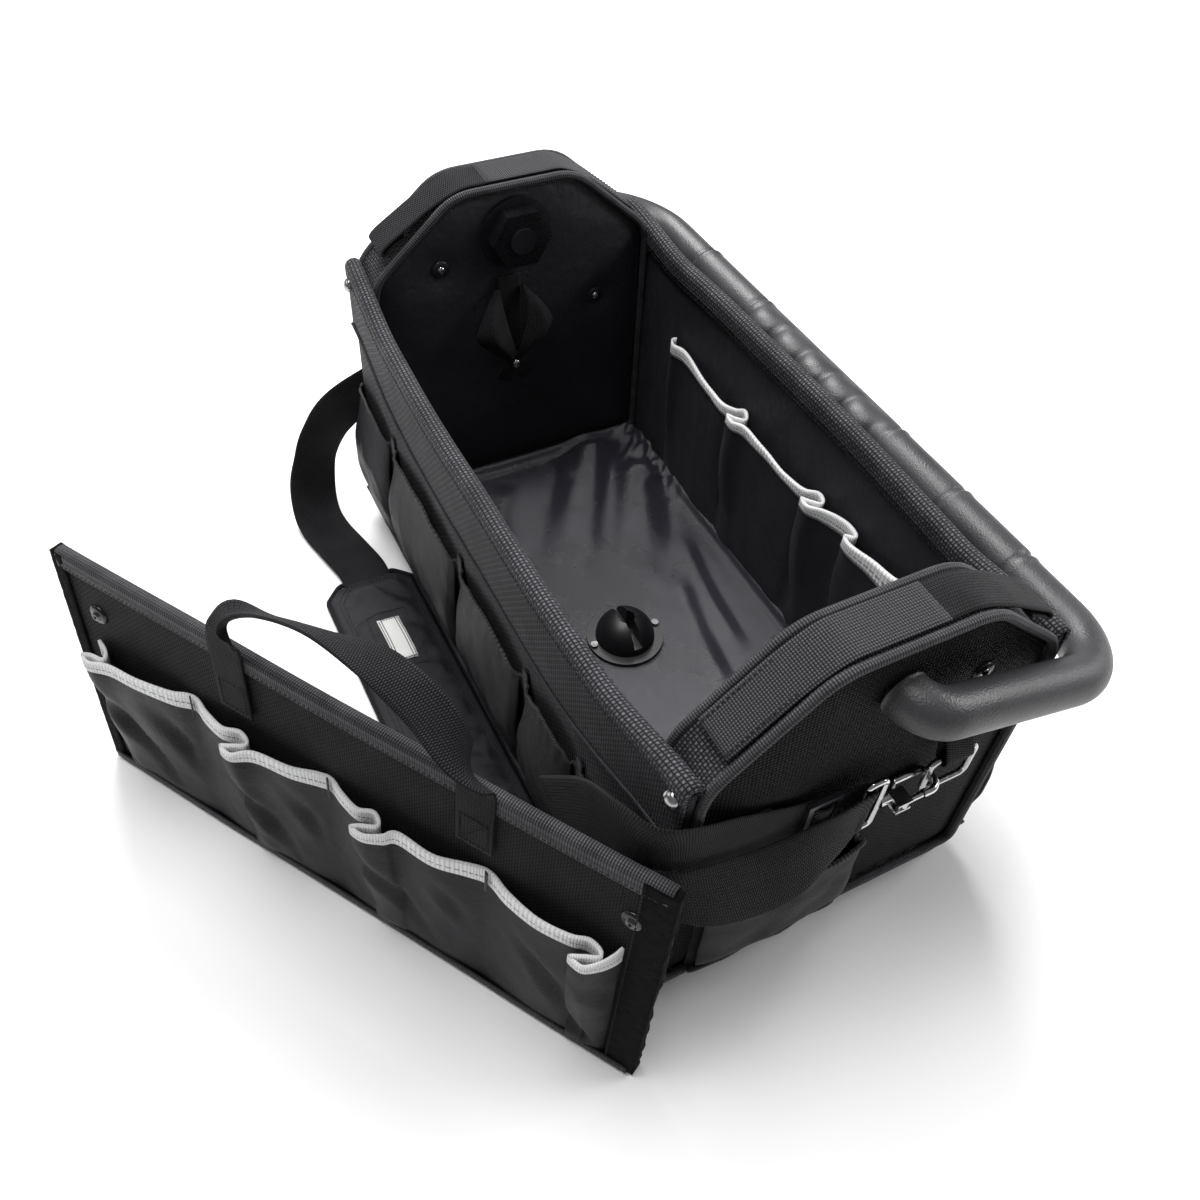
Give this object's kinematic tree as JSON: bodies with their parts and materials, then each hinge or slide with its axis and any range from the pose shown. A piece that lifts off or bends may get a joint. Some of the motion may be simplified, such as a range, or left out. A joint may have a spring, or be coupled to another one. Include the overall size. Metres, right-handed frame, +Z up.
{
  "type": "garden tool bag",
  "caption": "Open rectangular fabric tool bag with high padded ends, a moulded swing handle, pockets outside and in, a lift-out pocket divider and a shoulder strap.",
  "frame": {"origin": "centre of the bag's base, on the surface it stands on", "axes": "+X along the bag towards the end whose strap hook is seen, +Y towards the side where the handle rests, +Z up"},
  "size_m": [0.5735, 0.5479, 0.2971],
  "materials": {
    "ballistic_weave": "coarse woven nylon, satin sheen",
    "lining_cloth": "fine smooth nylon",
    "stiff_board": "matt sheet",
    "foam_core": "closed-cell foam",
    "webbing": "ribbed woven strap",
    "binding": "fine ribbed binding",
    "pale_elastic": "ribbed elastic tape",
    "hook_tape": "bristly fastening tape",
    "charcoal_plastic": "leather-grained satin moulding",
    "black_plastic": "glossy moulding",
    "dark_nickel": "nickel-plated",
    "chrome": "bright plated",
    "label_cloth": "woven label"
  },
  "bodies": {
    "bag": {"base_tray": "ballistic_weave", "corner_rivets": "dark_nickel", "dome_screws": "dark_nickel", "dome_socket": "black_plastic", "end_core_far": "foam_core", "end_core_near": "foam_core", "end_gusset_far": "ballistic_weave", "end_gusset_near": "ballistic_weave", "end_inner_face_far": "lining_cloth", "end_inner_face_near": "lining_cloth", "end_outer_face_far": "ballistic_weave", "end_outer_face_near": "ballistic_weave", "end_piping_far": "binding", "end_piping_near": "binding", "end_pocket_far": "ballistic_weave", "end_pocket_near": "ballistic_weave", "end_webbing_far": "webbing", "end_webbing_near": "webbing", "floor_board": "stiff_board", "floor_lining": "lining_cloth", "inner_elastics": "pale_elastic", "inner_pockets_left": "lining_cloth", "inner_pockets_right": "lining_cloth", "outer_pockets_left": "ballistic_weave", "outer_pockets_right": "ballistic_weave", "pad_label": "label_cloth", "panel_snaps": "dark_nickel", "pivot_washer_far": "black_plastic", "pivot_washer_near": "black_plastic", "ring_tabs": "webbing", "side_band_left": "ballistic_weave", "side_band_right": "ballistic_weave", "side_board_left": "stiff_board", "side_board_right": "stiff_board", "side_lining_left": "lining_cloth", "side_lining_right": "lining_cloth", "side_skin_left": "ballistic_weave", "side_skin_right": "ballistic_weave", "snap_hook_far": "chrome", "snap_hook_near": "chrome", "strap_pad": "ballistic_weave", "strap_rings": "chrome", "strap_slider": "black_plastic", "tool_loop": "webbing", "webbing_far": "webbing", "webbing_near": "webbing", "webbing_tail": "webbing"},
    "handle": {"handle_spindles": "black_plastic", "handle_tube": "charcoal_plastic", "pivot_nut_far": "black_plastic", "pivot_nut_near": "black_plastic"},
    "divider": {"divider_binding": "binding", "divider_elastic": "pale_elastic", "divider_hook_strips": "hook_tape", "divider_panel": "ballistic_weave", "divider_pockets": "lining_cloth", "divider_snaps": "dark_nickel", "divider_web_handle": "webbing"},
    "gate_near": {"hook_gate_near": "chrome"},
    "gate_far": {"hook_gate_far": "chrome"}
  },
  "joints": [
    {"name": "handle_swing", "type": "hinge", "parent": "bag", "child": "handle", "pos_m": [0, 0, 0.256], "axis": [1, 0, 0], "range_deg": [0, 190]},
    {"name": "divider_lift", "type": "slide", "parent": "bag", "child": "divider", "axis": [0, 0, 1], "range_m": [0, 0.32]},
    {"name": "gate_near_hinge", "type": "hinge", "parent": "bag", "child": "gate_near", "pos_m": [0.269, 0.0165, 0.164], "axis": [0, 0, 1], "range_deg": [0, 25], "stiffness_Nm_per_rad": 0.02, "springref_deg": -20.05},
    {"name": "gate_far_hinge", "type": "hinge", "parent": "bag", "child": "gate_far", "pos_m": [-0.269, 0.0165, 0.164], "axis": [0, 0, -1], "range_deg": [0, 25], "stiffness_Nm_per_rad": 0.02, "springref_deg": -20.05}
  ]
}
